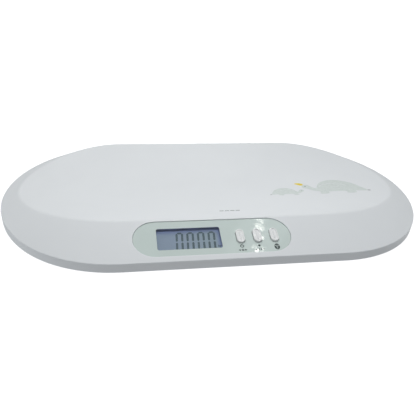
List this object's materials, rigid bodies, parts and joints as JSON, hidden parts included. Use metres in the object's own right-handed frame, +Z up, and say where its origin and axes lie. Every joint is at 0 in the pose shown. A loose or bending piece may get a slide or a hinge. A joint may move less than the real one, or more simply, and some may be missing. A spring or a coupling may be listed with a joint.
{
  "type": "tray scale",
  "caption": "Low digital tray scale for small animals: dished oval tray, sloping border with a slot-shaped display panel and push buttons, and sprung load-cell feet.",
  "frame": {"origin": "on the surface the scale stands on, under the middle of the casing's outline", "axes": "+X along the length, towards the buttons; +Y towards the back, away from the display; +Z up"},
  "size_m": [0.5631, 0.323, 0.05],
  "materials": {
    "tray_shell": "white ABS, fine satin gloss",
    "base_shell": "white ABS, fine spark texture",
    "panel": "pale green-grey, polished",
    "clear_window": "clear polished acrylic",
    "black_foam": "closed-cell foam and silicone",
    "lcd_glass": "reflective liquid-crystal glass",
    "light_guide": "diffusing acrylic",
    "white_moulding": "plain moulded plastic",
    "circuit_board": "green solder mask",
    "black_component": "moulded epoxy",
    "shield_can": "tinned steel",
    "screw_steel": "zinc-plated steel",
    "contact_metal": "nickel-plated spring steel",
    "load_cell_steel": "stamped alloy steel",
    "sealant": "white silicone",
    "button": "white, polished",
    "foot": "white ABS",
    "pad_rubber": "grey rubber",
    "grey_cable": "PVC sheath",
    "black_lead": "PVC insulation",
    "red_lead": "PVC insulation",
    "battery_can": "printed sleeve, plain"
  },
  "bodies": {
    "housing": {"tray": "tray_shell", "base": "base_shell", "display_panel": "panel", "display_lens": "clear_window", "display_gasket": "black_foam", "lcd_glass": "lcd_glass", "lcd_backlight": "light_guide", "lcd_frame": "white_moulding", "zebra_strip": "black_foam", "circuit_board": "circuit_board", "board_components": "black_component", "wireless_module": "shield_can", "board_connectors": "white_moulding", "board_screws": "screw_steel", "tact_switches": "black_component", "strain_gauges": "sealant", "cell_screws": "screw_steel", "contact_springs": "contact_metal", "contact_plates": "contact_metal", "case_screws": "screw_steel", "battery_lead_black": "black_lead", "battery_lead_red": "red_lead", "load_cell_front_left": "load_cell_steel", "cell_frame_front_left": "white_moulding", "cell_cable_front_left": "grey_cable", "load_cell_front_right": "load_cell_steel", "cell_frame_front_right": "white_moulding", "cell_cable_front_right": "grey_cable", "load_cell_back_left": "load_cell_steel", "cell_frame_back_left": "white_moulding", "cell_cable_back_left": "grey_cable", "load_cell_back_right": "load_cell_steel", "cell_frame_back_right": "white_moulding", "cell_cable_back_right": "grey_cable", "battery_1": "battery_can", "battery_2": "battery_can", "battery_3": "battery_can"},
    "power_tare_button": {"button_power_tare": "button", "switch_plunger_power_tare": "white_moulding"},
    "hold_button": {"button_hold": "button", "switch_plunger_hold": "white_moulding"},
    "wireless_button": {"button_wireless": "button", "switch_plunger_wireless": "white_moulding"},
    "front_left_foot": {"foot_front_left": "foot", "foot_pad_front_left": "pad_rubber"},
    "front_right_foot": {"foot_front_right": "foot", "foot_pad_front_right": "pad_rubber"},
    "back_left_foot": {"foot_back_left": "foot", "foot_pad_back_left": "pad_rubber"},
    "back_right_foot": {"foot_back_right": "foot", "foot_pad_back_right": "pad_rubber"},
    "battery_cover": {"battery_cover": "base_shell"}
  },
  "joints": [
    {"name": "power_tare_press", "type": "slide", "parent": "housing", "child": "power_tare_button", "axis": [0, 0.2832, -0.9591], "range_m": [0, 0.0008], "stiffness_N_per_m": 2000},
    {"name": "hold_press", "type": "slide", "parent": "housing", "child": "hold_button", "axis": [0, 0.2832, -0.9591], "range_m": [0, 0.0008], "stiffness_N_per_m": 2000},
    {"name": "wireless_press", "type": "slide", "parent": "housing", "child": "wireless_button", "axis": [0, 0.2832, -0.9591], "range_m": [0, 0.0008], "stiffness_N_per_m": 2000},
    {"name": "front_left_foot_travel", "type": "slide", "parent": "housing", "child": "front_left_foot", "axis": [0, 0, 1], "range_m": [0, 0.0005], "stiffness_N_per_m": 2000, "springref_m": -0.002, "deforming": ["load_cell_front_left"]},
    {"name": "front_right_foot_travel", "type": "slide", "parent": "housing", "child": "front_right_foot", "axis": [0, 0, 1], "range_m": [0, 0.0005], "stiffness_N_per_m": 2000, "springref_m": -0.002, "deforming": ["load_cell_front_right"]},
    {"name": "back_left_foot_travel", "type": "slide", "parent": "housing", "child": "back_left_foot", "axis": [0, 0, 1], "range_m": [0, 0.0005], "stiffness_N_per_m": 2000, "springref_m": -0.002, "deforming": ["load_cell_back_left"]},
    {"name": "back_right_foot_travel", "type": "slide", "parent": "housing", "child": "back_right_foot", "axis": [0, 0, 1], "range_m": [0, 0.0005], "stiffness_N_per_m": 2000, "springref_m": -0.002, "deforming": ["load_cell_back_right"]},
    {"name": "battery_cover_hinge", "type": "hinge", "parent": "housing", "child": "battery_cover", "pos_m": [0, 0.05, 0.011], "axis": [1, 0, 0], "range_deg": [0, 90]}
  ]
}
